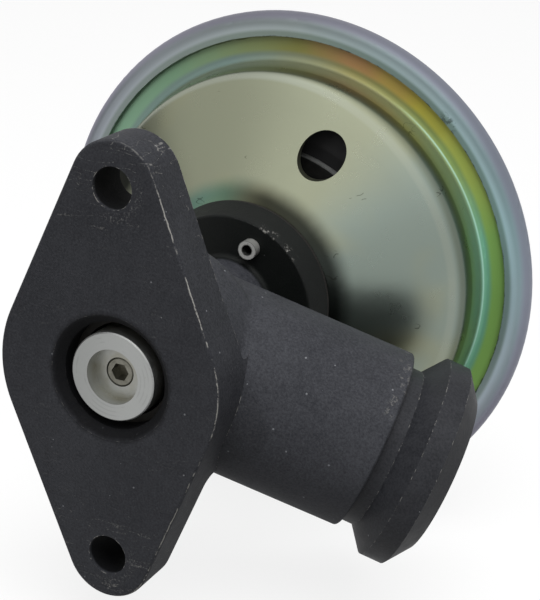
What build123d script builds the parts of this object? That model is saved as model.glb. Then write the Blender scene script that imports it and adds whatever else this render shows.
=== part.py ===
from build123d import *
import math
import os

# Vacuum-operated exhaust gas recirculation valve, in millimetres.
# The valve stem runs along +Y, from the manifold flange (its face at Y 0) to the diaphragm can.
# +Z is the long axis of the flange, and the gas outlet leaves towards +X.

# Manifold flange
hole_spacing = 60.0
bolt_hole_dia = 6.6
flange_thickness = 8.0
lobe_radius = 7.3
flange_middle_radius = 19.0
flange_shift = -0.5          # the cast outline sits this far along X from the bore
flange_edge = 0.5            # round along the front edge

# Cast body behind the flange
chamber_radius = 18.2
chamber_reach = 3.5          # the chamber ends this far behind the outlet's axis
chamber_round = 4.0
root_fillet = 2.0
tower_radius = 8.0
tower_fillet = 1.0
collar_front = 40.0
collar_thickness = 4.6
collar_front_radius = 15.4
collar_back_radius = 16.8
collar_edge = 0.5

# Gas outlet: a pipe that ends in a machined double-cone rim for a band clamp
outlet_reach = 9.0           # from the flange's back to where the outlet's axis meets the stem's
outlet_azimuth = 18.5        # degrees from +X towards +Y
outlet_drop = 21.7           # degrees below the horizontal
pipe_radius = 15.1
pipe_length = 37.2
pipe_round = 0.5
pipe_tilt = 1.65             # the cast pipe drops this many degrees less than the rim's axis
pipe_crossing = 21.0         # distance along the outlet at which the two axes cross
outlet_bore_dia = 21.0
outlet_bore_depth = 12.0
outlet_passage_dia = 19.0    # the cast passage behind the machined bore
outlet_chamfer = 1.0
neck_radius = 13.45
neck_length = 2.5
rim_radius = 17.2
rim_back_cone = 2.95
rim_band = 3.6
rim_front_cone = 3.0
rim_front_radius = 13.3

# Gas passage through the body
seat_bore_dia = 17.4
mouth_chamfer = 1.5
cavity_dia = 22.0
cavity_start = 9.6
cavity_shoulder = 20.0
cavity_end = 24.5
cavity_end_dia = 13.0
seal_pocket_dia = 13.0
seal_pocket_depth = 3.2

# Valve seat and head
seat_start = 4.6
seat_width = 4.0
seat_hole_dia = 15.2
seat_bevel = 0.9
valve_gap = 0.3              # between the closed head's cone and the seat, square to the cone
head_face = 0.8              # the head's face lies this far behind the flange's face
head_nose_radius = 7.16
head_edge = 0.2
head_rim_radius = 8.36
head_rim_width = 1.4
head_back_cone = 2.2
head_hub_radius = 4.3
head_hub_length = 1.6
recess_radius = 4.45
recess_depth = 2.4
thread_radius = 2.36
thread_clearance = 0.02
lock_screw_length = 4.0
socket_across_flats = 2.6
socket_depth = 2.2
screw_edge = 0.25

# Stem, guide and seal
stem_radius = 3.0
running_gap = 0.05
fit_gap = 0.05
guide_radius = 5.0
guide_stand_out = 2.1        # of the guide bush into the cavity
shield_radius = 7.4
shield_thickness = 0.8
shield_length = 2.6
retainer_thickness = 0.8
retainer_hole_radius = 4.2

# Lower half of the diaphragm can, with its gasket
gasket_thickness = 0.6
gasket_hole_radius = 7.0
sheet = 1.2
floor_hole_radius = 4.2
floor_radius = 16.6
floor_round = 1.5
cone_angle = 32.7            # slope of the can's face, in degrees
shoulder_radius = 36.6
shoulder_round = 2.2
wall_draft = 1.1
clamp_plane = 64.6           # front of the lower can's clamped flange
clamp_round = 1.4
rim_reach = 8.7              # from the can's wall to the outside of the rolled rim
rim_slack = 1.0              # between the clamped flange's edge and the inside of the roll
vent_dia = 8.0
vent_reach = 27.3
vent_angle = 66.3

# Tubular rivets that hold the can to the body
rivet_count = 3
rivet_angle = 69.0
rivet_circle_radius = 11.3
rivet_radius = 1.65
rivet_bore_radius = 0.9
rivet_stand_out = 1.6
rivet_head_radius = 2.6
rivet_head_thickness = 0.9

# Upper half of the can, its rim rolled over the lower half
cap_sheet = 1.0
roll_round = 1.9
lip_width = 4.3
cap_root_offset = 1.3        # of the cap's root from the lower can's wall
cap_wall_height = 8.0        # from the rolled rim to the cap's shoulder
cap_wall_draft = 4.0
cap_top = 80.0
cap_slope_width = 9.0
cap_round = 3.0

# Diaphragm and the plates that clamp it to the stem
diaphragm_thickness = 0.8
plate_front = 56.4
plate_thickness = 1.2
fold_width = 12.6            # of the diaphragm's free fold, from the plates to the can's shoulder
cup_step = 2.0               # the cup is this much smaller in radius than the lower plate
cup_wall = 3.0
cup_round = 1.4
fold_rise = 2.6
fold_reach = 3.6             # of the fold's low point from the can's shoulder
fold_round = 2.4
bead_reach = 0.7             # of the bead's root from the can's shoulder
washer_radius = 4.6
washer_thickness = 1.0
nut_across_flats = 8.0
nut_height = 4.0
stem_stick_out = 1.6
valve_lift = 6.0

# Return spring, its seat in the cap and the bump stop
spring_wire_radius = 0.9
spring_radius = 13.0
spring_turns = 4.5
spring_gap = 0.3
spring_seat_thickness = 0.8
spring_seat_rim = 2.2
spring_seat_clearance = 0.6
stop_radius = 6.4
stop_bore_radius = 3.6
stop_gap = 0.3               # left between the nut and the stop at full lift

# Vacuum nipple in the cap
nipple_radius = 2.4
nipple_bore_radius = 1.2
nipple_length = 15.0
nipple_tip_radius = 2.0
nipple_tip_length = 1.0
nipple_flange_radius = 5.0
nipple_flange_thickness = 1.2
nipple_spigot_radius = 3.2


def along_stem(depth):
    """Plane square to the stem at a depth behind the flange face, with X to the right and Z up."""
    return Plane.XZ.offset(-depth)


def turned(corners, label):
    """Ring or bar turned about the stem's axis, from its (radius, depth) corners."""
    with BuildPart() as turning:
        with BuildSketch(Plane.XY):
            with BuildLine():
                Polyline(*corners, close=True)
            make_face()
        revolve(axis=Axis.Y)
    turning.part.label = label
    return turning.part


def tube(inner, outer, front, back, label):
    """Plain ring about the stem's axis between two depths."""
    return turned([(inner, front), (outer, front), (outer, back), (inner, back)], label)


def pressed(corners, rounds, thickness, label):
    """Sheet pressing: its front face as a (radius, depth) line with rounded corners, thickened and revolved."""
    with BuildPart() as pressing:
        with BuildSketch(Plane.XY):
            with BuildLine():
                FilletPolyline(*corners, radius=rounds)
                offset(amount=thickness, side=Side.LEFT)
            make_face()
        revolve(axis=Axis.Y)
    pressing.part.label = label
    return pressing.part


def rivet_places():
    return PolarLocations(rivet_circle_radius, rivet_count, start_angle=rivet_angle)


# Values worked out from the sizes above
azimuth = math.radians(outlet_azimuth)
drop = math.radians(outlet_drop)
outlet_direction = Vector(
    math.cos(azimuth) * math.cos(drop),
    math.sin(azimuth) * math.cos(drop),
    -math.sin(drop),
)
outlet_height = flange_thickness + outlet_reach
outlet_origin = Vector(0, outlet_height, 0)
outlet_axis = Axis(outlet_origin, outlet_direction)
outlet_side = Vector(0, 0, 1).cross(outlet_direction)
outlet_square = Plane(outlet_origin, x_dir=outlet_side, z_dir=outlet_direction)
outlet_section = Plane(outlet_origin, x_dir=outlet_side, z_dir=outlet_side.cross(outlet_direction))
pipe_direction = outlet_direction.rotate(Axis((0, 0, 0), outlet_side), -pipe_tilt)
pipe_origin = outlet_origin + pipe_crossing * (outlet_direction - pipe_direction)
pipe_square = Plane(pipe_origin, x_dir=outlet_side, z_dir=pipe_direction)
outlet_length = pipe_length + neck_length + rim_back_cone + rim_band + rim_front_cone
chamber_end = outlet_height + chamber_reach
seat_bore_radius = seat_bore_dia / 2
collar_back = collar_front + collar_thickness
can_front = collar_back + gasket_thickness
shoulder_depth = can_front + (shoulder_radius - floor_radius) * math.tan(math.radians(cone_angle))
bead_plane = clamp_plane + sheet
wall_radius = shoulder_radius + wall_draft
roll_radius = wall_radius + rim_reach
clamp_radius = roll_radius - cap_sheet - rim_slack
lip_radius = roll_radius - lip_width
lip_front = clamp_plane - cap_sheet
roll_back = bead_plane + diaphragm_thickness + cap_sheet
cap_root_radius = wall_radius + cap_root_offset
cap_shoulder_radius = cap_root_radius - cap_wall_draft
cap_top_radius = cap_shoulder_radius - cap_slope_width
cap_inside = cap_top - cap_sheet
plate_radius = shoulder_radius - fold_width
cup_radius = plate_radius - cup_step
fold_radius = shoulder_radius - fold_reach
bead_radius = shoulder_radius - bead_reach
diaphragm_front = plate_front + plate_thickness
cup_front = diaphragm_front + diaphragm_thickness
washer_front = cup_front + plate_thickness
nut_front = washer_front + washer_thickness
nut_back = nut_front + nut_height
recess_floor = head_face + recess_depth
head_cone_start = seat_start + seat_width - seat_bevel + valve_gap * math.sqrt(2) - (
    seat_hole_dia / 2 - head_nose_radius
)
head_rim_start = head_cone_start + head_rim_radius - head_nose_radius
head_rim_end = head_rim_start + head_rim_width
head_hub_start = head_rim_end + head_back_cone
head_back = head_hub_start + head_hub_length
guide_front = cavity_end - guide_stand_out
seal_front = collar_back - seal_pocket_depth
retainer_front = collar_back - retainer_thickness
spring_seat_front = cap_inside - spring_seat_thickness

os.makedirs("parts", exist_ok=True)

# Body casting. The chamber and the pipe are blended into an oversize plate, which is then
# trimmed to the flange's outline, so that the blend runs right out to the flange's edge.
with BuildSketch(Plane.XZ) as flange_outline:
    with Locations((flange_shift, 0)):
        Circle(flange_middle_radius)
    with Locations((0, hole_spacing / 2), (0, -hole_spacing / 2)):
        Circle(lobe_radius)
    make_hull()

with BuildPart() as valve_body:
    with BuildSketch(Plane.XZ) as plate:
        Rectangle(4 * hole_spacing, 4 * hole_spacing)
    extrude(amount=-flange_thickness)
    with BuildSketch(along_stem(flange_thickness)):
        with Locations((flange_shift, 0)):
            Circle(chamber_radius)
    extrude(amount=flange_thickness - chamber_end)
    fillet(valve_body.faces().filter_by(Plane.XZ).sort_by(Axis.Y)[-1].edges(), chamber_round)
    with BuildSketch(pipe_square):
        Circle(pipe_radius)
    extrude(amount=outlet_length)
    with Locations(pipe_origin):
        Sphere(pipe_radius)
    crossings = valve_body.edges().filter_by(GeomType.BSPLINE)
    footprint = valve_body.edges().filter_by_position(Axis.Y, flange_thickness, flange_thickness)
    fillet(crossings + footprint.filter_by(GeomType.LINE, reverse=True), root_fillet)
    with BuildSketch(Plane.XZ):
        Rectangle(4 * hole_spacing, 4 * hole_spacing)
        add(flange_outline.sketch, mode=Mode.SUBTRACT)
    extrude(amount=-flange_thickness - 2 * root_fillet, mode=Mode.SUBTRACT)
    with BuildSketch(pipe_square):
        Circle(pipe_radius)
    extrude(amount=outlet_length)
    split(bisect_by=outlet_square.offset(pipe_length), keep=Keep.BOTTOM)
    pipe_end = valve_body.faces().filter_by(outlet_axis).sort_by(outlet_axis)[-1]
    fillet(pipe_end.edges(), pipe_round)

    # Neck and double-cone rim
    with BuildSketch(outlet_section):
        with BuildLine():
            Polyline(
                (0, outlet_height),
                (neck_radius, outlet_height),
                (neck_radius, pipe_length + neck_length),
                (rim_radius, pipe_length + neck_length + rim_back_cone),
                (rim_radius, pipe_length + neck_length + rim_back_cone + rim_band),
                (rim_front_radius, outlet_length),
                (0, outlet_length),
                close=True,
            )
        make_face()
    revolve(axis=outlet_axis)

    # Tower and collar that carry the can
    with BuildSketch(along_stem(outlet_height)):
        Circle(tower_radius)
    extrude(amount=outlet_height - collar_front)
    with BuildSketch(Plane.XY):
        with BuildLine():
            Polyline(
                (0, collar_front),
                (collar_front_radius, collar_front),
                (collar_back_radius, collar_back),
                (0, collar_back),
                close=True,
            )
        make_face()
    revolve(axis=Axis.Y)
    tower_end = valve_body.edges().filter_by_position(Axis.Y, collar_front, collar_front)
    fillet(tower_end.filter_by(GeomType.CIRCLE).sort_by(SortBy.RADIUS)[0], tower_fillet)

    # Gas passages, guide bore and seal pocket
    with BuildSketch(Plane.XY):
        with BuildLine():
            Polyline(
                (0, 0),
                (seat_bore_radius + mouth_chamfer, 0),
                (seat_bore_radius, mouth_chamfer),
                (seat_bore_radius, cavity_start),
                (cavity_dia / 2, cavity_start),
                (cavity_dia / 2, cavity_shoulder),
                (cavity_end_dia / 2, cavity_end),
                (guide_radius, cavity_end),
                (guide_radius, seal_front),
                (seal_pocket_dia / 2, seal_front),
                (seal_pocket_dia / 2, collar_back),
                (0, collar_back),
                close=True,
            )
        make_face()
    revolve(axis=Axis.Y, mode=Mode.SUBTRACT)
    with BuildSketch(outlet_square):
        Circle(outlet_passage_dia / 2)
    extrude(amount=outlet_length, mode=Mode.SUBTRACT)
    with BuildSketch(outlet_square.offset(outlet_length)):
        Circle(outlet_bore_dia / 2)
    extrude(amount=-outlet_bore_depth, mode=Mode.SUBTRACT)
    outlet_mouth = valve_body.faces().filter_by(outlet_axis).sort_by(outlet_axis)[-1]
    chamfer(outlet_mouth.edges().sort_by(SortBy.RADIUS)[0], outlet_chamfer)

    # Bolt holes and rivet holes
    with BuildSketch(Plane.XZ):
        with Locations((0, hole_spacing / 2), (0, -hole_spacing / 2)):
            Circle(bolt_hole_dia / 2)
    extrude(amount=-flange_thickness, mode=Mode.SUBTRACT)
    with BuildSketch(along_stem(collar_front)):
        with rivet_places():
            Circle(rivet_radius + fit_gap)
    extrude(amount=-collar_thickness, mode=Mode.SUBTRACT)
    flange_front = valve_body.faces().filter_by(Plane.XZ).sort_by(Axis.Y)[0]
    fillet(flange_front.outer_wire().edges(), flange_edge)
    collar_rim = valve_body.edges().filter_by_position(Axis.Y, collar_front, collar_front)
    fillet(collar_rim.filter_by(GeomType.CIRCLE).sort_by(SortBy.RADIUS)[-1], collar_edge)
valve_body.part.label = "valve_body"
export_step(valve_body.part, "parts/valve_body.step", write_pcurves=False)

seat_ring = turned(
    [
        (seat_hole_dia / 2, seat_start),
        (seat_bore_radius, seat_start),
        (seat_bore_radius, seat_start + seat_width),
        (seat_hole_dia / 2 + seat_bevel, seat_start + seat_width),
        (seat_hole_dia / 2, seat_start + seat_width - seat_bevel),
    ],
    "seat_ring",
)
export_step(seat_ring, "parts/seat_ring.step")

valve_head = turned(
    [
        (thread_radius + thread_clearance, recess_floor),
        (recess_radius, recess_floor),
        (recess_radius, head_face),
        (head_nose_radius - head_edge, head_face),
        (head_nose_radius, head_face + head_edge),
        (head_nose_radius, head_cone_start),
        (head_rim_radius, head_rim_start),
        (head_rim_radius, head_rim_end),
        (head_hub_radius, head_hub_start),
        (head_hub_radius, head_back),
        (thread_radius + thread_clearance, head_back),
    ],
    "valve_head",
)
export_step(valve_head, "parts/valve_head.step")

with BuildPart() as lock_screw:
    with BuildSketch(along_stem(recess_floor)):
        Circle(thread_radius)
    extrude(amount=-lock_screw_length)
    chamfer(lock_screw.edges().filter_by(GeomType.CIRCLE), screw_edge)
    with BuildSketch(along_stem(recess_floor)):
        RegularPolygon(socket_across_flats / 2, 6, major_radius=False)
    extrude(amount=-socket_depth, mode=Mode.SUBTRACT)
lock_screw.part.label = "lock_screw"
export_step(lock_screw.part, "parts/lock_screw.step")

valve_stem = turned(
    [
        (0, recess_floor + lock_screw_length),
        (thread_radius, recess_floor + lock_screw_length),
        (thread_radius, head_back),
        (stem_radius, head_back),
        (stem_radius, plate_front),
        (thread_radius, plate_front),
        (thread_radius, nut_back + stem_stick_out),
        (0, nut_back + stem_stick_out),
    ],
    "valve_stem",
)
export_step(valve_stem, "parts/valve_stem.step")

stem_guide = tube(stem_radius + running_gap, guide_radius, guide_front, seal_front, "stem_guide")
export_step(stem_guide, "parts/stem_guide.step")

soot_shield = turned(
    [
        (stem_radius + running_gap, guide_front - shield_thickness),
        (shield_radius, guide_front - shield_thickness),
        (shield_radius, guide_front),
        (guide_radius + shield_thickness, guide_front),
        (guide_radius + shield_thickness, guide_front - shield_thickness + shield_length),
        (guide_radius, guide_front - shield_thickness + shield_length),
        (guide_radius, guide_front),
        (stem_radius + running_gap, guide_front),
    ],
    "soot_shield",
)
export_step(soot_shield, "parts/soot_shield.step")

stem_seal = tube(stem_radius + running_gap, seal_pocket_dia / 2, seal_front, retainer_front, "stem_seal")
export_step(stem_seal, "parts/stem_seal.step")

seal_retainer = tube(retainer_hole_radius, seal_pocket_dia / 2, retainer_front, collar_back, "seal_retainer")
export_step(seal_retainer, "parts/seal_retainer.step")

with BuildPart() as can_gasket:
    with BuildSketch(along_stem(collar_back)):
        Circle(collar_back_radius)
        Circle(gasket_hole_radius, mode=Mode.SUBTRACT)
        with rivet_places():
            Circle(rivet_radius + fit_gap, mode=Mode.SUBTRACT)
    extrude(amount=-gasket_thickness)
can_gasket.part.label = "can_gasket"
export_step(can_gasket.part, "parts/can_gasket.step")

with BuildPart() as can_rivets:
    with BuildSketch(along_stem(collar_front - rivet_stand_out)):
        with rivet_places():
            Circle(rivet_radius)
    extrude(amount=collar_front - rivet_stand_out - can_front - sheet)
    with BuildSketch(along_stem(can_front + sheet)):
        with rivet_places():
            Circle(rivet_head_radius)
    extrude(amount=-rivet_head_thickness)
    with BuildSketch(along_stem(collar_front - rivet_stand_out)):
        with rivet_places():
            Circle(rivet_bore_radius)
    extrude(amount=-collar_thickness - rivet_stand_out, mode=Mode.SUBTRACT)
can_rivets.part.label = "can_rivets"
export_step(can_rivets.part, "parts/can_rivets.step")

with BuildPart() as lower_can:
    add(
        pressed(
            [
                (floor_hole_radius, can_front),
                (floor_radius, can_front),
                (shoulder_radius, shoulder_depth),
                (wall_radius, clamp_plane),
                (clamp_radius, clamp_plane),
            ],
            [floor_round, shoulder_round, clamp_round],
            sheet,
            "lower_can",
        )
    )
    with BuildSketch(along_stem(can_front)):
        with rivet_places():
            Circle(rivet_radius + fit_gap)
        with PolarLocations(vent_reach, 1, start_angle=vent_angle):
            Circle(vent_dia / 2)
    extrude(amount=can_front - clamp_plane, mode=Mode.SUBTRACT)
lower_can.part.label = "lower_can"
export_step(lower_can.part, "parts/lower_can.step")

diaphragm = pressed(
    [
        (thread_radius + fit_gap, diaphragm_front),
        (plate_radius + fold_round, diaphragm_front),
        (fold_radius, diaphragm_front + fold_rise),
        (bead_radius, bead_plane),
        (clamp_radius, bead_plane),
    ],
    [fold_round, fold_round, fold_round],
    diaphragm_thickness,
    "diaphragm",
)
export_step(diaphragm, "parts/diaphragm.step")

lower_plate = tube(thread_radius + fit_gap, plate_radius, plate_front, diaphragm_front, "lower_plate")
export_step(lower_plate, "parts/lower_plate.step")

spring_cup = pressed(
    [
        (thread_radius + fit_gap, cup_front),
        (cup_radius, cup_front),
        (cup_radius, washer_front + cup_wall),
    ],
    [cup_round + plate_thickness],
    plate_thickness,
    "spring_cup",
)
export_step(spring_cup, "parts/spring_cup.step")

lock_washer = tube(thread_radius + fit_gap, washer_radius, washer_front, nut_front, "lock_washer")
export_step(lock_washer, "parts/lock_washer.step")

with BuildPart() as stem_nut:
    with BuildSketch(along_stem(nut_front)):
        RegularPolygon(nut_across_flats / 2, 6, major_radius=False)
        Circle(thread_radius + thread_clearance, mode=Mode.SUBTRACT)
    extrude(amount=-nut_height)
stem_nut.part.label = "stem_nut"
export_step(stem_nut.part, "parts/stem_nut.step")

spring_start = washer_front + spring_gap + spring_wire_radius
spring_end = spring_seat_front - spring_gap - spring_wire_radius
with BuildPart() as return_spring:
    with BuildLine() as coil:
        Helix(
            pitch=(spring_end - spring_start) / spring_turns,
            height=spring_end - spring_start,
            radius=spring_radius,
            center=(0, spring_start, 0),
            direction=(0, 1, 0),
        )
    with BuildSketch(Plane(coil.line @ 0, z_dir=coil.line % 0)):
        Circle(spring_wire_radius)
    sweep(path=coil.line)
return_spring.part.label = "return_spring"
export_step(return_spring.part, "parts/return_spring.step")

spring_seat_inner = spring_radius + spring_wire_radius + spring_seat_clearance
spring_seat = turned(
    [
        (stop_radius + spring_seat_clearance, spring_seat_front),
        (spring_seat_inner, spring_seat_front),
        (spring_seat_inner, spring_seat_front - spring_seat_rim),
        (spring_seat_inner + spring_seat_thickness, spring_seat_front - spring_seat_rim),
        (spring_seat_inner + spring_seat_thickness, cap_inside),
        (stop_radius + spring_seat_clearance, cap_inside),
    ],
    "spring_seat",
)
export_step(spring_seat, "parts/spring_seat.step")

bump_stop = tube(stop_bore_radius, stop_radius, nut_back + valve_lift + stop_gap, cap_inside, "bump_stop")
export_step(bump_stop, "parts/bump_stop.step")

upper_can = pressed(
    [
        (lip_radius, lip_front),
        (roll_radius, lip_front),
        (roll_radius, roll_back),
        (cap_root_radius, roll_back),
        (cap_shoulder_radius, roll_back + cap_wall_height),
        (cap_top_radius, cap_top),
        (nipple_spigot_radius + fit_gap, cap_top),
    ],
    [roll_round, roll_round, cap_sheet, cap_round, cap_round],
    cap_sheet,
    "upper_can",
)
export_step(upper_can, "parts/upper_can.step")

vacuum_nipple = turned(
    [
        (nipple_bore_radius, cap_inside),
        (nipple_spigot_radius, cap_inside),
        (nipple_spigot_radius, cap_top),
        (nipple_flange_radius, cap_top),
        (nipple_flange_radius, cap_top + nipple_flange_thickness),
        (nipple_radius, cap_top + nipple_flange_thickness),
        (nipple_radius, cap_top + nipple_length - nipple_tip_length),
        (nipple_tip_radius, cap_top + nipple_length),
        (nipple_bore_radius, cap_top + nipple_length),
    ],
    "vacuum_nipple",
)
export_step(vacuum_nipple, "parts/vacuum_nipple.step")
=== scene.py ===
import bpy
import bmesh
import math
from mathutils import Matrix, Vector


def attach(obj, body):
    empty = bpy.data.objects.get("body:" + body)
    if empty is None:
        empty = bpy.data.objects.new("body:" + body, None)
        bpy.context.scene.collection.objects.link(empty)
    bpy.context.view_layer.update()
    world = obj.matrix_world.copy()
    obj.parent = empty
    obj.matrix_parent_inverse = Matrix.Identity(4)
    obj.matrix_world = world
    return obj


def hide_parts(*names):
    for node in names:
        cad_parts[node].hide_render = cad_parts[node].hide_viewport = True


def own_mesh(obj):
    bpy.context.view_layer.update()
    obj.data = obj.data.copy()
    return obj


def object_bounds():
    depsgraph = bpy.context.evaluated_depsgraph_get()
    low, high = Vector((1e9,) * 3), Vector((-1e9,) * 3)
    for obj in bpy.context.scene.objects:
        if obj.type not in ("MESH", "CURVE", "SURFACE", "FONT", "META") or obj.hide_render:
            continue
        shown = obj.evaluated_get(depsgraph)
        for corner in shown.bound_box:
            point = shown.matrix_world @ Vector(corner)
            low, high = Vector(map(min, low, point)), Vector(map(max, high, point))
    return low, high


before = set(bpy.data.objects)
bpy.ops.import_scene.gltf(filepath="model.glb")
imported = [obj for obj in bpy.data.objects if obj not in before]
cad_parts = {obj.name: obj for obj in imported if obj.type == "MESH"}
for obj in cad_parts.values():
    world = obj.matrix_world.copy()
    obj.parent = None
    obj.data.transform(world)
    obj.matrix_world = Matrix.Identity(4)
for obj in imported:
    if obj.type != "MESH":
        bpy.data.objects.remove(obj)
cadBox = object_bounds()
mm = 0.001
print("frame loaded")


# Small helpers for shader trees
def setInput(tree, node, key, value):
    if isinstance(value, bpy.types.NodeSocket):
        tree.links.new(value, node.inputs[key])
    else:
        node.inputs[key].default_value = value


def addNode(tree, kind, inputs=None, **settings):
    node = tree.nodes.new(kind)
    for key, value in settings.items():
        setattr(node, key, value)
    for key, value in (inputs or {}).items():
        setInput(tree, node, key, value)
    return node


def calc(tree, operation, a, b=0.0):
    return addNode(tree, "ShaderNodeMath", {0: a, 1: b}, operation=operation).outputs[0]


def plus(tree, a, b):
    return calc(tree, "ADD", a, b)


def minus(tree, a, b):
    return calc(tree, "SUBTRACT", a, b)


def times(tree, first, *others):
    for other in others:
        first = calc(tree, "MULTIPLY", first, other)
    return first


def highest(tree, a, b):
    return calc(tree, "MAXIMUM", a, b)


def weighted(tree, *pairs):
    total = None
    for value, weight in pairs:
        share = times(tree, value, weight)
        total = share if total is None else plus(tree, total, share)
    return total


def ragged(tree, value, by, amount):
    # a distance or an angle made uneven, so that what it bounds has a rough edge
    return plus(tree, value, times(tree, by, amount))


def swing(tree, value, amount):
    # a noise value turned into a shift to either side
    return times(tree, minus(tree, value, 0.5), amount)


def between(tree, value, zero, one):
    # zero where the mask is 0, one where it is 1
    return plus(tree, times(tree, value, one - zero), zero)


def fade(tree, value, low, high, toLow=0.0, toHigh=1.0):
    settings = {0: value, 1: low, 2: high, 3: toLow, 4: toHigh}
    node = addNode(tree, "ShaderNodeMapRange", settings, interpolation_type="SMOOTHSTEP")
    return node.outputs[0]


def fadeOut(tree, value, low, high):
    return fade(tree, value, low, high, 1.0, 0.0)


def band(tree, value, low, high, soft):
    inner = fade(tree, value, low - soft, low + soft)
    outer = fadeOut(tree, value, high - soft, high + soft)
    return times(tree, inner, outer)


def mixColor(tree, factor, a, b, blend="MIX"):
    node = addNode(tree, "ShaderNodeMix", data_type="RGBA", blend_type=blend)
    for key, value in ((0, factor), (6, a), (7, b)):
        setInput(tree, node, key, value)
    return node.outputs[2]


def tinted(tree, color, tint):
    return mixColor(tree, 1.0, color, tint, "MULTIPLY")


def dimmed(tree, color, level):
    grey = addNode(tree, "ShaderNodeCombineColor", {0: level, 1: level, 2: level}).outputs[0]
    return tinted(tree, color, grey)


def vectorCalc(tree, operation, a, b):
    node = addNode(tree, "ShaderNodeVectorMath", {0: a, 1: b}, operation=operation)
    return node.outputs["Value" if operation in ("DOT_PRODUCT", "DISTANCE") else "Vector"]


def separate(tree, point):
    return addNode(tree, "ShaderNodeSeparateXYZ", {0: point}).outputs


def surfaceNormal(tree):
    return addNode(tree, "ShaderNodeNewGeometry").outputs["Normal"]


def noise(tree, point, scale, detail=3.0, roughness=0.6, distortion=0.0):
    settings = {"Vector": point, "Scale": scale, "Detail": detail, "Roughness": roughness}
    settings["Distortion"] = distortion
    return addNode(tree, "ShaderNodeTexNoise", settings).outputs[0]


def stretched(tree, point, scale, turn=(0, 0, 0)):
    settings = {"Vector": point, "Scale": scale, "Rotation": [math.radians(angle) for angle in turn]}
    return addNode(tree, "ShaderNodeMapping", settings).outputs[0]


def rgb(red, green, blue):
    # screen colour to linear
    def linear(c):
        c = c / 255
        return c / 12.92 if c <= 0.04045 else ((c + 0.055) / 1.055) ** 2.4
    return (linear(red), linear(green), linear(blue), 1.0)


def ramp(tree, value, stops, tints):
    node = addNode(tree, "ShaderNodeValToRGB", {0: value})
    elements = node.color_ramp.elements
    while len(elements) < len(stops):
        elements.new(0.5)
    for element, (position, tint) in zip(elements, stops):
        element.position = position
        element.color = tints[tint]
    return node.outputs[0]


def newGroup(name, inputs, outputs):
    tree = bpy.data.node_groups.new(name, "ShaderNodeTree")
    for label, kind, value in inputs:
        socket = tree.interface.new_socket(label, in_out="INPUT", socket_type="NodeSocket" + kind)
        if value is not None:
            socket.default_value = value
    for label, kind in outputs:
        tree.interface.new_socket(label, in_out="OUTPUT", socket_type="NodeSocket" + kind)
    return tree, tree.nodes.new("NodeGroupInput").outputs, tree.nodes.new("NodeGroupOutput").inputs


def useGroup(tree, group, inputs):
    node = addNode(tree, "ShaderNodeGroup", node_tree=group)
    for key, value in inputs.items():
        setInput(tree, node, key, value)
    return node.outputs


def newMaterial(name):
    material = bpy.data.materials.new(name)
    material.use_nodes = True
    tree = material.node_tree
    shader = tree.nodes["Principled BSDF"]
    point = addNode(tree, "ShaderNodeTexCoord").outputs["Object"]
    return material, tree, shader, point


def bumpFrom(tree, shader, height, distance, strength=1.0):
    settings = {"Height": height, "Distance": distance, "Strength": strength}
    tree.links.new(addNode(tree, "ShaderNodeBump", settings).outputs[0], shader.inputs["Normal"])


# Effects that several materials share
def makeRoundGroup():
    # radius from the stem, and angle round it from 0 to 1 with 0.5 towards +X and 0.75 up
    outputs = [("Radius", "Float"), ("Angle", "Float"), ("Depth", "Float")]
    tree, given, out = newGroup("roundTheStem", [("Point", "Vector", None)], outputs)
    parts = separate(tree, given["Point"])
    squares = plus(tree, times(tree, parts["X"], parts["X"]), times(tree, parts["Z"], parts["Z"]))
    tree.links.new(calc(tree, "SQRT", squares), out["Radius"])
    turn = calc(tree, "ARCTAN2", parts["Z"], parts["X"])
    tree.links.new(plus(tree, calc(tree, "DIVIDE", turn, 2 * math.pi), 0.5), out["Angle"])
    tree.links.new(parts["Y"], out["Depth"])
    return tree


def makeSpeckGroup():
    # small light or dark specks, one here and there
    inputs = [
        ("Point", "Vector", None),
        ("Scale", "Float", 400.0),
        ("Size", "Float", 0.08),
        ("Share", "Float", 0.5),
    ]
    tree, given, out = newGroup("specks", inputs, [("Mask", "Float")])
    cells = addNode(tree, "ShaderNodeTexVoronoi", {"Vector": given["Point"], "Scale": given["Scale"]})
    near = calc(tree, "LESS_THAN", cells.outputs["Distance"], given["Size"])
    cellValue = addNode(tree, "ShaderNodeSeparateColor", {0: cells.outputs["Color"]}).outputs[0]
    lucky = calc(tree, "LESS_THAN", cellValue, given["Share"])
    tree.links.new(times(tree, near, lucky), out["Mask"])
    return tree


def makeScratchGroup():
    # thin broken lines along the stretched axis
    inputs = [("Point", "Vector", None), ("Width", "Float", 0.012), ("Share", "Float", 0.5)]
    tree, given, out = newGroup("scratches", inputs, [("Mask", "Float")])
    value = noise(tree, given["Point"], 1.0, 1.0, 0.5)
    away = calc(tree, "ABSOLUTE", minus(tree, value, 0.5))
    line = calc(tree, "LESS_THAN", away, given["Width"])
    breaks = noise(tree, given["Point"], 0.35, 2.0, 0.6)
    here = calc(tree, "GREATER_THAN", breaks, minus(tree, 1.0, given["Share"]))
    tree.links.new(times(tree, line, here), out["Mask"])
    return tree


def makeEdgeGroup():
    # bare metal along corners, broken up by noise
    inputs = [("Point", "Vector", None), ("Width", "Float", 0.0005), ("Share", "Float", 0.5)]
    tree, given, out = newGroup("edgeWear", inputs, [("Mask", "Float")])
    rounded = addNode(tree, "ShaderNodeBevel", {"Radius": given["Width"]}, samples=8).outputs[0]
    likeness = vectorCalc(tree, "DOT_PRODUCT", rounded, surfaceNormal(tree))
    edge = fadeOut(tree, likeness, 0.90, 0.985)
    rough = noise(tree, given["Point"], 900.0, 3.0, 0.7)
    start = minus(tree, 0.95, given["Share"])
    end = minus(tree, 1.05, given["Share"])
    here = fade(tree, rough, start, end)
    tree.links.new(times(tree, edge, here), out["Mask"])
    return tree


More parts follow.
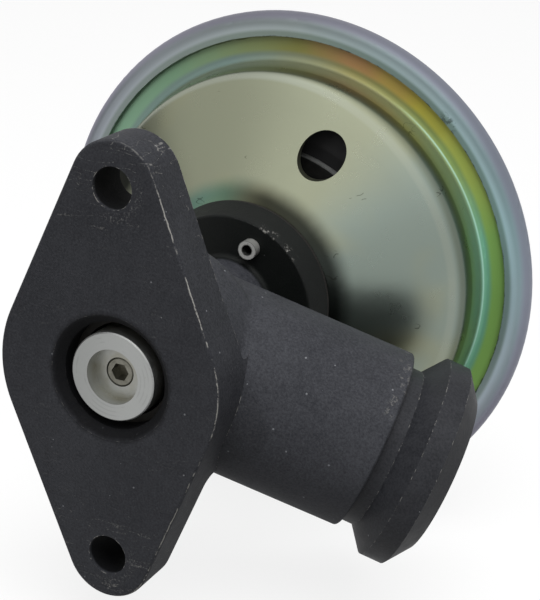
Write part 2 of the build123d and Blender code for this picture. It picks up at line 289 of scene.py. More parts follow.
roundGroup = makeRoundGroup()
speckGroup = makeSpeckGroup()
scratchGroup = makeScratchGroup()
edgeGroup = makeEdgeGroup()
print("shared effects built")


def specked(tree, point, look):
    inputs = {"Point": point, "Scale": look["scale"], "Size": look["size"], "Share": look["share"]}
    return useGroup(tree, speckGroup, inputs)["Mask"]


def scratched(tree, point, look):
    run = stretched(tree, point, look["scale"], look["turn"])
    inputs = {"Point": run, "Width": look["width"], "Share": look["share"]}
    return useGroup(tree, scratchGroup, inputs)["Mask"]


def edgeWorn(tree, point, look):
    inputs = {"Point": point, "Width": look["width"], "Share": look["share"]}
    return useGroup(tree, edgeGroup, inputs)["Mask"]


# Materials. Radii and depths are in metres from the stem and from the flange's face,
# angles are shares of a turn, a band is low, high and the softness of its ends
blackCast = {
    "low": rgb(33, 34, 38),
    "high": rgb(60, 61, 65),
    "toneRange": (0.40, 0.90),
    "dust": 1.22,                       # how much paler the rough casting is than the flange
    "machinedTint": 0.72,
    "worn": rgb(176, 174, 168),
    "speck": rgb(150, 152, 156),
    "specks": {"scale": 480.0, "size": 0.075, "share": 0.30},
    "collarBlack": rgb(17, 19, 18),
    # soot black, which is also the painted shade deep in the valve's mouth and the bolt holes
    "sootAndShade": rgb(5, 5, 6),
    "sootAndShadeShare": 0.90,
    "grain": 2600.0,
    "mottle": 520.0,
    "clouds": 55.0,
    "grainHeight": 0.00007,
    "grainStrength": 0.6,
    "machinedFlatter": 0.7,
    "roughness": (0.48, 0.74),
    "smoother": 0.14,                   # by so much where the casting is machined
    "gloss": 0.22,
    "flangeBack": (0.0085, 0.0090),
    "flangeFace": (0.0006, 0.0010),
    "collarFront": (0.0385, 0.0395),
    "collarReach": 0.0175,
    "holeSpacing": 0.06,
    "holeWall": (0.0034, 0.0036),
    "holeMouth": (0.0003, 0.0009),
    "boreMouth": (0.0099, 0.0113),
    "boreRagged": 0.0006,
    "boreDepth": (0.0060, 0.0066),
    "outletStart": (0.0, 0.017, 0.0),
    "outletDirection": (0.881118, 0.294818, -0.369747),
    "neckStart": 0.0372,
}
castWear = {
    "lineDepth": (0.00035, 0.00055),
    "lineFacing": (-0.84, -0.62, 0.06),
    "lineOutside": 0.0125,
    # the edge line's painted highlight is stronger on the right of the flange
    "highlightRight": (-0.001, 0.004),
    "highlightLevels": (0.10, 0.68),         # on the left and on the right of the flange
    "lineTop": (0.026, 0.036),
    "lineAtTop": 0.3,
    "lineNoise": 150.0,
    "lineBreaks": (0.45, 0.53),
    "corners": {"width": 0.0003, "share": 0.44},
    "cornerLevel": 0.5,
    "collarAngle": (0.612, 0.690, 0.008),
    "collarRadius": (0.0151, 0.0157, 0.0002),
    "collarDepth": 0.039,
    "pipeEnd": (0.0350, 0.0372, 0.0008),
    "pipeTop": (-0.0055, -0.0025),
    "pipeLevel": 0.5,
    "scuffNoise": 900.0,
    "scuffBreaks": (0.54, 0.64),
    "scuffLevel": 0.42,
    "lobe": (0.018, 0.032, 0.12, 1.0),
    "lines": {"scale": (150, 150, 900), "turn": (0, 35, 0), "width": 0.008, "share": 0.45},
    "crossLines": {"scale": (160, 160, 1100), "turn": (0, -48, 0), "width": 0.007, "share": 0.44},
    "lineStrength": (0.42, 0.66, 0.02, 0.38),
    "rubbedRing": (0.0050, 0.0060, 0.0004),
    "rubbedRagged": 0.0018,
    "rubbedSide": (0.001, 0.005),
    "rubbedStrength": (0.50, 0.75, 0.0, 0.30),
}


def makeBlackCast():
    material, tree, shader, point = newMaterial("blackCast")
    place = useGroup(tree, roundGroup, {"Point": point})
    radius, angle, depth = place["Radius"], place["Angle"], place["Depth"]
    parts = separate(tree, point)
    facing = separate(tree, surfaceNormal(tree))["Y"]
    fine = noise(tree, point, blackCast["grain"], 2.0, 0.8)
    middle = noise(tree, point, blackCast["mottle"], 4.0, 0.6)
    broad = noise(tree, point, blackCast["clouds"], 3.0, 0.5)
    tone = weighted(tree, (fine, 0.7), (middle, 0.3), (broad, 0.3))
    tone = fade(tree, tone, *blackCast["toneRange"])
    color = mixColor(tree, tone, blackCast["low"], blackCast["high"])
    # the neck and rim of the outlet are turned, so darker and smoother than the casting
    reach = vectorCalc(tree, "SUBTRACT", point, blackCast["outletStart"])
    along = vectorCalc(tree, "DOT_PRODUCT", reach, blackCast["outletDirection"])
    machined = calc(tree, "GREATER_THAN", along, blackCast["neckStart"])
    onFlange = fadeOut(tree, depth, *blackCast["flangeBack"])
    dusty = fade(tree, onFlange, 0.0, 1.0, blackCast["dust"], 1.0)
    darker = times(tree, machined, blackCast["dust"] - blackCast["machinedTint"])
    color = dimmed(tree, color, minus(tree, dusty, darker))
    # the collar under the can is a deeper black
    collar = fade(tree, depth, *blackCast["collarFront"])
    collar = times(tree, collar, calc(tree, "LESS_THAN", radius, blackCast["collarReach"]))
    color = mixColor(tree, collar, color, blackCast["collarBlack"])
    specks = specked(tree, point, blackCast["specks"])
    specks = times(tree, specks, minus(tree, 0.5, times(tree, collar, 0.3)))
    color = mixColor(tree, specks, color, blackCast["speck"])
    # bare metal and a painted highlight: a thin line along the right of the flange's front edge, faint on
    # other corners
    nearFront = fadeOut(tree, depth, *castWear["lineDepth"])
    onRound = band(tree, plus(tree, facing, swing(tree, middle, 0.5)), *castWear["lineFacing"])
    onRound = times(tree, onRound, calc(tree, "GREATER_THAN", radius, castWear["lineOutside"]))
    highlitRight = fade(tree, parts["X"], *castWear["highlightRight"])
    broken = noise(tree, point, castWear["lineNoise"], 4.0, 0.75)
    broken = weighted(tree, (broken, 0.8), (fine, 0.2))
    edgeWearAndHighlight = times(tree, nearFront, onRound, between(tree, highlitRight, *castWear["highlightLevels"]))
    fromTop = fade(tree, parts["Z"], *castWear["lineTop"], 1.0, castWear["lineAtTop"])
    edgeWearAndHighlight = times(tree, edgeWearAndHighlight, fromTop, fade(tree, broken, *castWear["lineBreaks"]))
    corners = edgeWorn(tree, point, castWear["corners"])
    cornerLevel = castWear["cornerLevel"]
    corners = times(tree, corners, minus(tree, cornerLevel, times(tree, collar, cornerLevel)))
    # scuffs on the collar's front corner and on top of the pipe's end
    collarScuff = band(tree, angle, *castWear["collarAngle"])
    collarScuff = times(tree, collarScuff, band(tree, radius, *castWear["collarRadius"]))
    collarScuff = times(tree, collarScuff, calc(tree, "GREATER_THAN", depth, castWear["collarDepth"]))
    pipeScuff = band(tree, along, *castWear["pipeEnd"])
    pipeScuff = times(tree, pipeScuff, fade(tree, parts["Z"], *castWear["pipeTop"]))
    scuffs = highest(tree, collarScuff, times(tree, pipeScuff, castWear["pipeLevel"]))
    scuffGrain = noise(tree, point, castWear["scuffNoise"], 4.0, 0.75)
    scuffs = times(tree, scuffs, fade(tree, scuffGrain, *castWear["scuffBreaks"]))
    worn = highest(tree, corners, times(tree, scuffs, castWear["scuffLevel"]))
    color = mixColor(tree, highest(tree, edgeWearAndHighlight, worn), color, blackCast["worn"])
    # scratches on the flange's lobes, and rubbed rings round its bolt holes
    onLobe = fade(tree, calc(tree, "ABSOLUTE", parts["Z"]), *castWear["lobe"])
    lines = scratched(tree, point, castWear["lines"])
    crossLines = scratched(tree, point, castWear["crossLines"])
    lines = times(tree, highest(tree, lines, crossLines), fade(tree, fine, *castWear["lineStrength"]))
    lines = times(tree, lines, times(tree, onFlange, onLobe))
    color = mixColor(tree, lines, color, blackCast["worn"])
    rings = None
    inHole = None
    for side in (1, -1):
        off = minus(tree, parts["Z"], side * blackCast["holeSpacing"] / 2)
        squares = plus(tree, times(tree, off, off), times(tree, parts["X"], parts["X"]))
        away = calc(tree, "SQRT", squares)
        ring = band(tree, ragged(tree, away, middle, castWear["rubbedRagged"]), *castWear["rubbedRing"])
        lowerRight = fade(tree, minus(tree, parts["X"], off), *castWear["rubbedSide"])
        ring = times(tree, ring, lowerRight)
        wall = fadeOut(tree, away, *blackCast["holeWall"])
        rings = ring if rings is None else highest(tree, rings, ring)
        inHole = wall if inHole is None else highest(tree, inHole, wall)
    rings = times(tree, rings, fadeOut(tree, depth, *blackCast["flangeFace"]))
    rings = times(tree, rings, fade(tree, fine, *castWear["rubbedStrength"]))
    color = mixColor(tree, rings, color, blackCast["worn"])
    # soot and painted shade in the valve's mouth, fading out on the face round it, and painted shade in
    # the bolt holes
    mouth = ragged(tree, radius, middle, blackCast["boreRagged"])
    mouth = fadeOut(tree, mouth, *blackCast["boreMouth"])
    sootAndShade = times(tree, mouth, fadeOut(tree, depth, *blackCast["boreDepth"]))
    holeShade = times(tree, inHole, fade(tree, depth, *blackCast["holeMouth"]), onFlange)
    sootAndShade = highest(tree, sootAndShade, holeShade)
    color = mixColor(tree, times(tree, sootAndShade, blackCast["sootAndShadeShare"]), color, blackCast["sootAndShade"])
    tree.links.new(color, shader.inputs["Base Color"])
    rough = between(tree, middle, *blackCast["roughness"])
    rough = minus(tree, rough, times(tree, highest(tree, collar, machined), blackCast["smoother"]))
    tree.links.new(plus(tree, rough, times(tree, sootAndShade, 0.2)), shader.inputs["Roughness"])
    shader.inputs["Specular IOR Level"].default_value = blackCast["gloss"]
    height = ragged(tree, fine, middle, 0.8)
    height = times(tree, height, minus(tree, 1.0, times(tree, machined, blackCast["machinedFlatter"])))
    bumpFrom(tree, shader, height, blackCast["grainHeight"], blackCast["grainStrength"])
    return material


canTints = {
    "mist": rgb(125, 150, 140),
    "sage": rgb(120, 155, 125),
    "teal": rgb(115, 175, 145),
    "olive": rgb(130, 155, 90),
    "khaki": rgb(140, 135, 85),
    "slate": rgb(110, 130, 125),
    "mint": rgb(140, 180, 155),
    "leaf": rgb(135, 180, 95),
    "gold": rgb(190, 180, 75),
    "amber": rgb(175, 135, 90),
    "moss": rgb(130, 130, 70),
    "zinc": rgb(160, 165, 175),
    "blueZinc": rgb(155, 185, 190),
    "greyZinc": rgb(150, 160, 160),
}
canFinish = {
    "faceTop": rgb(167, 171, 147),
    "faceRight": rgb(159, 172, 162),
    "faceWarm": rgb(180, 178, 140),
    # painted highlight along the can's shoulder
    "faceEdge": rgb(186, 192, 176),
    "clouds": 34.0,
    "mottle": 160.0,
    "wander": 0.05,                     # how far the tints wander round the stem
    "patches": 42.0,
    "patchTurn": (20, 40, 0),
    "patchRange": (0.50, 0.72, 0.0, 0.8),
    # painted shade on the wall outside the shoulder and at its foot
    "wall": rgb(78, 84, 58),
    "wallShadeShare": 0.48,
    # colour of the painted shadow round the collar and behind the flange's upper lobe
    "paintedShade": rgb(26, 28, 26),
    "haloTint": rgb(190, 236, 246),
    "ridgeHighlight": rgb(190, 232, 218),
    "dirtAndShade": rgb(40, 42, 36),
    # tints round the stem: a quarter of the way is down, half is right, three quarters is up
    "inner": [
        (0.00, "mist"), (0.25, "sage"), (0.45, "teal"), (0.55, "teal"), (0.60, "olive"),
        (0.70, "khaki"), (0.80, "slate"), (1.00, "mist"),
    ],
    "outer": [
        (0.00, "mint"), (0.25, "leaf"), (0.55, "leaf"), (0.65, "gold"), (0.70, "amber"),
        (0.75, "moss"), (0.85, "sage"), (1.00, "mint"),
    ],
    "rim": [(0.00, "zinc"), (0.40, "zinc"), (0.55, "blueZinc"), (0.75, "greyZinc"), (1.00, "zinc")],
    "rimEdge": rgb(166, 160, 184),
    "rimFoot": rgb(205, 212, 200),
    "brightness": 1.15,
    "metallic": 0.95,
    "grooveMetal": 0.35,
    "rimMetal": 0.70,
    "roughness": (0.22, 0.36),
    "bulge": -95.0,                     # how much the rolled rim's shading curves outwards
    "grainHeight": 0.000012,
}
canPlaces = {
    "frontHalf": (0.0608, 0.0614),
    "lap": (0.0, 0.15),                 # carries the left's values across the angle's seam
    "faceTopAngles": (0.66, 1.10, 0.04),
    "faceTopLap": (0.02, 0.12),
    "wallTurn": (0.60, 0.80, 0.0355, 0.0369),
    "wallLap": 0.0014,
    "shoulder": (-0.0012, -0.0001, 0.0003),
    "shoulderLevel": (0.66, 0.78, 0.30, 0.80),
    "shoulderLap": 0.5,
    "wall": (0.0004, 0.0030, 0.0005),
    "wallEnd": (0.0371, 0.0377),
    "haloEnd": (0.0180, 0.0214),
    "haloRagged": 0.0008,
    "haloLevels": (0.15, 0.91),         # away from the outlet and towards it
    "haloGreen": (0.76, 0.94, 0.03),
    "outletAngles": (0.71, 0.83),
    "outletFoot": (0.05, 0.25),
    "stain": (-0.0302, 0.0, 0.0139),    # painted shade behind the flange's upper lobe
    "shadePatchReach": (0.0034, 0.0072),
    "shadePatchRagged": 0.0030,
    "shadePatchShare": 0.96,
    "groove": (0.0370, 0.0381),
    "outerTint": (0.0388, 0.0398),
    "foot": (0.0374, 0.0379, 0.0003),
    "footShadeShare": 0.38,
    "ridgeHighlight": (0.03795, 0.03815, 0.00012),
    "ridgeHighlightAngles": (0.44, 0.645, 0.03),
    "ridgeHighlightShare": 0.6,
    "lipShade": (0.0413, 0.0425, 0.0004),
    "lipShare": 0.18,
    "rim": (0.0420, 0.0422),
    "rimEdge": (0.0453, 0.0480, 0.0006),
    "rimEdgeShare": 0.6,
    "rimFoot": (0.0415, 0.0432, 0.0004),
    "rimShading": (0.0430, 0.0448, 1.22, 0.62),
    "rimRight": (0.36, 0.55, 0.05),
    "rimRightLight": 0.22,
    "rimLeft": (0.78, 0.92),
    "rimLeftLap": (0.0, 0.14),
    "rimLeftLight": 0.34,
    "rimOuter": (0.0435, 0.0450),
    "grimeAndShade": (0.04182, 0.04214, 0.00012),
    "grimeRagged": 0.0008,
    "grimeLevel": (0.66, 0.84, 0.80, 0.30),
    "grimeLap": 0.50,
    "marks": {"scale": (300, 300, 620), "turn": (0, 25, 0), "width": 0.012, "share": 0.335},
    "markShare": 0.5,
    "scuffAngles": (0.624, 0.636, 0.003),
    "scuffRadii": (0.0421, 0.0436, 0.0003),
    "scuffBreaks": (0.48, 0.56),
    "scuffShare": 0.55,
    "crown": 0.0428,
    "crownDepth": 0.066,
}


def canFace(tree, point, place, broad, middle, onFront):
    radius, angle = place["Radius"], place["Angle"]
    # the coating's thickness wanders, which shifts its tint
    upward = band(tree, ragged(tree, angle, broad, canFinish["wander"]), *canPlaces["faceTopAngles"])
    upward = highest(tree, upward, fadeOut(tree, angle, *canPlaces["faceTopLap"]))
    lap = fadeOut(tree, angle, *canPlaces["lap"])
    face = mixColor(tree, upward, canFinish["faceRight"], canFinish["faceTop"])
    turned = stretched(tree, point, (1, 1, 1), canFinish["patchTurn"])
    patches = noise(tree, turned, canFinish["patches"], 2.0)
    patches = fade(tree, patches, *canFinish["patchRange"])
    face = mixColor(tree, patches, face, canFinish["faceWarm"])
    # a painted highlight along the shoulder, and painted shade on the wall outside it
    wallStart = ragged(tree, fade(tree, angle, *canPlaces["wallTurn"]), lap, canPlaces["wallLap"])
    fromWall = minus(tree, radius, wallStart)
    shoulder = times(tree, band(tree, fromWall, *canPlaces["shoulder"]), onFront)
    level = ragged(tree, fade(tree, angle, *canPlaces["shoulderLevel"]), lap, canPlaces["shoulderLap"])
    face = mixColor(tree, times(tree, shoulder, level), face, canFinish["faceEdge"])
    wallShade = band(tree, fromWall, *canPlaces["wall"])
    wallShade = times(tree, wallShade, fadeOut(tree, radius, *canPlaces["wallEnd"]), onFront)
    face = mixColor(tree, times(tree, wallShade, canFinish["wallShadeShare"]), face, canFinish["wall"])
    # painted shadow round the collar, heavier towards the outlet
    towardsOutlet = fadeOut(tree, angle, *canPlaces["outletAngles"])
    towardsOutlet = times(tree, towardsOutlet, fade(tree, angle, *canPlaces["outletFoot"]))
    paintedShade = fadeOut(tree, ragged(tree, radius, middle, canPlaces["haloRagged"]), *canPlaces["haloEnd"])
    paintedShade = times(tree, paintedShade, onFront)
    greenish = times(tree, paintedShade, band(tree, angle, *canPlaces["haloGreen"]))
    face = mixColor(tree, greenish, face, tinted(tree, face, canFinish["haloTint"]))
    paintedShade = times(tree, paintedShade, between(tree, towardsOutlet, *canPlaces["haloLevels"]))
    return mixColor(tree, paintedShade, face, canFinish["paintedShade"]), lap


# a patch of painted shade on the can, behind the flange's upper lobe
def canShadePatch(tree, point, onFront):
    flat = vectorCalc(tree, "MULTIPLY", point, (1, 0, 1))
    fromShadePatch = vectorCalc(tree, "DISTANCE", flat, canPlaces["stain"])
    fromShadePatch = ragged(tree, fromShadePatch, noise(tree, point, 260.0), canPlaces["shadePatchRagged"])
    return times(tree, fadeOut(tree, fromShadePatch, *canPlaces["shadePatchReach"]), onFront)


def canRim(tree, radius, angle, rim):
    edgeShare = band(tree, radius, *canPlaces["rimEdge"])
    rim = mixColor(tree, times(tree, edgeShare, canPlaces["rimEdgeShare"]), rim, canFinish["rimEdge"])
    atFoot = band(tree, radius, *canPlaces["rimFoot"])
    rim = mixColor(tree, atFoot, rim, tinted(tree, rim, canFinish["rimFoot"]))
    # painted shading across the rolled rim: lighter inwards and darker outwards, lighter on the right and
    # on the outer left
    level = fade(tree, radius, *canPlaces["rimShading"])
    level = ragged(tree, level, band(tree, angle, *canPlaces["rimRight"]), canPlaces["rimRightLight"])
    leftLight = fade(tree, angle, *canPlaces["rimLeft"])
    leftLight = plus(tree, leftLight, fadeOut(tree, angle, *canPlaces["rimLeftLap"]))
    leftLight = times(tree, leftLight, fade(tree, radius, *canPlaces["rimOuter"]))
    return dimmed(tree, rim, ragged(tree, level, leftLight, canPlaces["rimLeftLight"]))


def makeCanFinish():
    material, tree, shader, point = newMaterial("yellowZinc")
    place = useGroup(tree, roundGroup, {"Point": point})
    radius, angle, depth = place["Radius"], place["Angle"], place["Depth"]
    broad = noise(tree, point, canFinish["clouds"], 2.0, 0.5, 0.6)
    middle = noise(tree, point, canFinish["mottle"], 3.0, 0.6)
    onFront = fadeOut(tree, depth, *canPlaces["frontHalf"])
    face, lap = canFace(tree, point, place, broad, middle, onFront)
    # painted shade behind the flange's upper lobe
    shadePatch = canShadePatch(tree, point, onFront)
    face = mixColor(tree, times(tree, shadePatch, canPlaces["shadePatchShare"]), face, canFinish["paintedShade"])
    # the groove and the rim change colour with the angle
    wander = swing(tree, noise(tree, point, 90.0, 2.0), canFinish["wander"])
    shifted = plus(tree, angle, wander)
    inner = ramp(tree, shifted, canFinish["inner"], canTints)
    outer = ramp(tree, shifted, canFinish["outer"], canTints)
    inGroove = fade(tree, radius, *canPlaces["groove"])
    outerShare = fade(tree, ragged(tree, radius, wander, 0.01), *canPlaces["outerTint"])
    color = mixColor(tree, inGroove, face, mixColor(tree, outerShare, inner, outer))
    # painted shade at the wall's foot, and a painted highlight along the ridge towards the right
    footShade = times(tree, band(tree, radius, *canPlaces["foot"]), canPlaces["footShadeShare"])
    color = mixColor(tree, footShade, color, canFinish["wall"])
    ridgeHighlight = band(tree, radius, *canPlaces["ridgeHighlight"])
    ridgeHighlight = times(tree, ridgeHighlight, band(tree, angle, *canPlaces["ridgeHighlightAngles"]))
    color = mixColor(tree, times(tree, ridgeHighlight, canPlaces["ridgeHighlightShare"]), color, canFinish["ridgeHighlight"])
    lipShade = times(tree, band(tree, radius, *canPlaces["lipShade"]), canPlaces["lipShare"])
    color = mixColor(tree, lipShade, color, canFinish["dirtAndShade"])
    onRim = fade(tree, radius, *canPlaces["rim"])
    rim = ramp(tree, shifted, canFinish["rim"], canTints)
    rim = canRim(tree, radius, angle, rim)
    color = mixColor(tree, onRim, color, rim)
    level = plus(tree, 1.0, times(tree, inGroove, canFinish["brightness"] - 1.0))
    color = dimmed(tree, color, level)
    # grime and painted shade caught under the rolled lip, and a few marks
    uneven = swing(tree, noise(tree, point, 420.0, 4.0, 0.75), canPlaces["grimeRagged"])
    grimeAndShade = band(tree, plus(tree, radius, uneven), *canPlaces["grimeAndShade"])
    grimeAndShadeHere = fade(tree, angle, *canPlaces["grimeLevel"])
    grimeAndShadeHere = minus(tree, grimeAndShadeHere, times(tree, lap, canPlaces["grimeLap"]))
    color = mixColor(tree, times(tree, grimeAndShade, grimeAndShadeHere), color, canFinish["dirtAndShade"])
    marks = scratched(tree, point, canPlaces["marks"])
    marks = times(tree, marks, minus(tree, 1.0, inGroove))
    color = mixColor(tree, times(tree, marks, canPlaces["markShare"]), color, canFinish["dirtAndShade"])
    # a scuff across the lip
    scuff = band(tree, angle, *canPlaces["scuffAngles"])
    scuff = times(tree, scuff, band(tree, radius, *canPlaces["scuffRadii"]))
    scuffGrain = noise(tree, point, 700.0, 3.0, 0.7)
    scuff = times(tree, scuff, fade(tree, scuffGrain, *canPlaces["scuffBreaks"]))
    color = mixColor(tree, times(tree, scuff, canPlaces["scuffShare"]), color, canFinish["dirtAndShade"])
    tree.links.new(color, shader.inputs["Base Color"])
    lessMetal = times(tree, inGroove, canFinish["metallic"] - canFinish["grooveMetal"])
    metal = minus(tree, canFinish["metallic"], lessMetal)
    metal = ragged(tree, metal, onRim, canFinish["rimMetal"] - canFinish["grooveMetal"])
    tree.links.new(metal, shader.inputs["Metallic"])
    rough = between(tree, middle, *canFinish["roughness"])
    rough = ragged(tree, rough, highest(tree, grimeAndShade, times(tree, inGroove, 0.3)), 0.4)
    rough = ragged(tree, rough, shadePatch, 0.4)
    tree.links.new(rough, shader.inputs["Roughness"])
    # the rolled rim is slightly domed
    fromCrown = highest(tree, minus(tree, radius, canPlaces["crown"]), 0.0)
    dome = times(tree, fromCrown, fromCrown, canFinish["bulge"])
    dome = times(tree, dome, calc(tree, "LESS_THAN", depth, canPlaces["crownDepth"]))
    bumpFrom(tree, shader, ragged(tree, dome, middle, canFinish["grainHeight"]), 1.0)
    return material


turnedSteel = {
    "face": rgb(190, 192, 190),
    "stain": rgb(176, 175, 164),
    "dark": rgb(34, 34, 32),
    "ringPitch": 0.00022,
    "coarsePitch": 3.1,                 # in pitches of the fine rings
    "recess": (0.0012, 0.0030),
    "shadedLeft": (-0.007, 0.003, 0.16, 0.0),
    "dots": {"scale": 700.0, "size": 0.09, "share": 0.25},
    "faceEdge": (0.00728, 0.00745),
    "crescentHighlightAngles": (0.60, 0.80, 0.05),
    "crescentHighlight": (0.0076, 0.0084, 0.75, 0.0),
    "screwGap": (0.0015, 0.00235, 0.0001),
    "screwDepth": (0.0028, 0.0031),
    "metallic": 0.9,
    "roughness": (0.30, 0.42),
}


def turningMarks(tree, radius, pitch):
    return calc(tree, "SINE", times(tree, radius, 2 * math.pi / pitch))


def makeTurnedSteel():
    material, tree, shader, point = newMaterial("turnedSteel")
    place = useGroup(tree, roundGroup, {"Point": point})
    radius, angle, depth = place["Radius"], place["Angle"], place["Depth"]
    fine = noise(tree, point, 1500.0, 3.0, 0.7)
    rings = turningMarks(tree, radius, turnedSteel["ringPitch"])
    rings = times(tree, rings, fade(tree, fine, 0.3, 0.7))
    inRecess = fade(tree, depth, *turnedSteel["recess"])
    blotch = fade(tree, noise(tree, point, 260.0, 3.0), 0.35, 0.65, 0.35, 1.0)
    color = mixColor(tree, times(tree, inRecess, blotch), turnedSteel["face"], turnedSteel["stain"])
    # coarser turning marks show on the face, and its left is darkened with painted shade
    coarse = turningMarks(tree, radius, turnedSteel["coarsePitch"] * turnedSteel["ringPitch"])
    coarse = times(tree, coarse, fade(tree, noise(tree, point, 300.0, 3.0), 0.40, 0.62))
    leftShade = fade(tree, separate(tree, point)["X"], *turnedSteel["shadedLeft"])
    marksAndShade = plus(tree, fade(tree, coarse, 0.2, 1.0, 0.0, 0.10), leftShade)
    color = mixColor(tree, marksAndShade, color, turnedSteel["dark"])
    dots = specked(tree, point, turnedSteel["dots"])
    color = mixColor(tree, times(tree, dots, 0.4), color, turnedSteel["stain"])
    # soot and painted shade behind the face's edge but for a painted highlight crescent, and a black gap
    # round the screw
    edge = ragged(tree, radius, fine, 0.0003)
    crescentHighlight = band(tree, angle, *turnedSteel["crescentHighlightAngles"])
    crescentHighlight = times(tree, crescentHighlight, fade(tree, edge, *turnedSteel["crescentHighlight"]))
    sootyAndShaded = fade(tree, edge, *turnedSteel["faceEdge"])
    sootyAndShaded = times(tree, sootyAndShaded, minus(tree, 0.95, crescentHighlight))
    gap = band(tree, radius, *turnedSteel["screwGap"])
    gap = times(tree, gap, fade(tree, depth, *turnedSteel["screwDepth"]))
    sootyAndShaded = highest(tree, sootyAndShaded, times(tree, gap, 0.9))
    color = mixColor(tree, sootyAndShaded, color, turnedSteel["dark"])
    tree.links.new(color, shader.inputs["Base Color"])
    metal = minus(tree, turnedSteel["metallic"], times(tree, sootyAndShaded, 0.6))
    tree.links.new(metal, shader.inputs["Metallic"])
    tree.links.new(fade(tree, fine, 0.2, 0.8, *turnedSteel["roughness"]), shader.inputs["Roughness"])
    bumpFrom(tree, shader, plus(tree, times(tree, rings, 0.5), fine), 0.00001, 0.5)
    return material


plainFinishes = {
    # soot black, which on the seat ring also stands in as painted shade deep in the bore
    "sootAndShadeSteel": {
        "low": rgb(22, 21, 20), "high": rgb(58, 56, 52), "roughness": (0.45, 0.7), "metallic": 0.6,
    },
    "screwSteel": {
        "low": rgb(120, 118, 108), "high": rgb(165, 163, 152), "roughness": (0.28, 0.45), "metallic": 0.9,
    },
    "sinteredBronze": {
        "low": rgb(120, 92, 52), "high": rgb(160, 130, 80), "roughness": (0.45, 0.6), "metallic": 0.8,
    },
    "sealRubber": {
        "low": rgb(20, 20, 21), "high": rgb(34, 34, 35), "roughness": (0.55, 0.75), "metallic": 0.0,
    },
    "gasketFibre": {
        "low": rgb(20, 19, 18), "high": rgb(36, 34, 31), "roughness": (0.75, 0.9), "metallic": 0.0,
        "grain": 1600.0,
    },
    "brightZinc": {
        "low": rgb(190, 192, 190), "high": rgb(225, 226, 222), "roughness": (0.22, 0.36), "metallic": 0.9,
    },
}


def makePlain(name, look):
    material, tree, shader, point = newMaterial(name)
    grain = look.get("grain", 900.0)
    fine = noise(tree, point, grain, 4.0, 0.65)
    broad = noise(tree, point, grain / 9, 2.0, 0.5)
    tone = fade(tree, weighted(tree, (fine, 0.6), (broad, 0.4)), 0.3, 0.7)
    tree.links.new(mixColor(tree, tone, look["low"], look["high"]), shader.inputs["Base Color"])
    tree.links.new(fade(tree, fine, 0.2, 0.8, *look["roughness"]), shader.inputs["Roughness"])
    shader.inputs["Metallic"].default_value = look["metallic"]
    bumpFrom(tree, shader, fine, 0.00003, 0.5)
    return material


rivetSteel = {
    "bright": rgb(225, 225, 220),
    "boreShade": rgb(62, 64, 62),
    "circle": 0.0113,
    "angles": (69, 189, 309),
    "boreRadius": 0.00098,
    "soft": 0.0002,
    "endRadius": (0.00150, 0.00160),
    "sideDark": 0.55,
    "metallic": 0.5,
    "roughness": (0.25, 0.4),
}


def makeRivetSteel():
    # bright rolled ends with dark middles, which are painted shade in their bores
    material, tree, shader, point = newMaterial("rivetSteel")
    flat = vectorCalc(tree, "MULTIPLY", point, (1, 0, 1))
    near = None
    for angle in rivetSteel["angles"]:
        turn = math.radians(angle)
        centre = (rivetSteel["circle"] * math.cos(turn), 0.0, rivetSteel["circle"] * math.sin(turn))
        away = vectorCalc(tree, "DISTANCE", flat, centre)
        near = away if near is None else calc(tree, "MINIMUM", near, away)
    fine = noise(tree, point, 1400.0, 3.0, 0.7)
    boreRadius = rivetSteel["boreRadius"]
    boreShade = fadeOut(tree, ragged(tree, near, fine, 0.0002), boreRadius, boreRadius + rivetSteel["soft"])
    outer = fade(tree, near, *rivetSteel["endRadius"], 0.0, rivetSteel["sideDark"])
    color = mixColor(tree, highest(tree, boreShade, outer), rivetSteel["bright"], rivetSteel["boreShade"])
    tree.links.new(color, shader.inputs["Base Color"])
    shader.inputs["Metallic"].default_value = rivetSteel["metallic"]
    tree.links.new(fade(tree, fine, 0.2, 0.8, *rivetSteel["roughness"]), shader.inputs["Roughness"])
    bumpFrom(tree, shader, fine, 0.00002, 0.5)
    return material


plateSteel = {
    "dark": rgb(20, 20, 20),
    "light": rgb(50, 50, 48),
    "edge": rgb(150, 152, 150),
    "edgeStart": 0.0237,
    "soft": 0.0002,
    "rubbedAndGlint": 0.75,
    "metallic": 0.4,
    "roughness": (0.4, 0.6),
}


def makePlateSteel():
    # dull, with its rim rubbed bright by the diaphragm's fold and given a painted glint along its edge
    material, tree, shader, point = newMaterial("plateSteel")
    place = useGroup(tree, roundGroup, {"Point": point})
    fine = noise(tree, point, 900.0, 4.0, 0.65)
    color = mixColor(tree, fine, plateSteel["dark"], plateSteel["light"])
    start = plateSteel["edgeStart"]
    rim = fade(tree, ragged(tree, place["Radius"], fine, 0.0002), start, start + plateSteel["soft"])
    color = mixColor(tree, times(tree, rim, plateSteel["rubbedAndGlint"]), color, plateSteel["edge"])
    tree.links.new(color, shader.inputs["Base Color"])
    tree.links.new(fade(tree, fine, 0.2, 0.8, *plateSteel["roughness"]), shader.inputs["Roughness"])
    shader.inputs["Metallic"].default_value = plateSteel["metallic"]
    bumpFrom(tree, shader, fine, 0.00002, 0.5)
    return material


materials = {
    "blackCast": makeBlackCast(),
    "yellowZinc": makeCanFinish(),
    "turnedSteel": makeTurnedSteel(),
    "rivetSteel": makeRivetSteel(),
    "plateSteel": makePlateSteel(),
}
for name, look in plainFinishes.items():
    materials[name] = makePlain(name, look)
print("materials built")


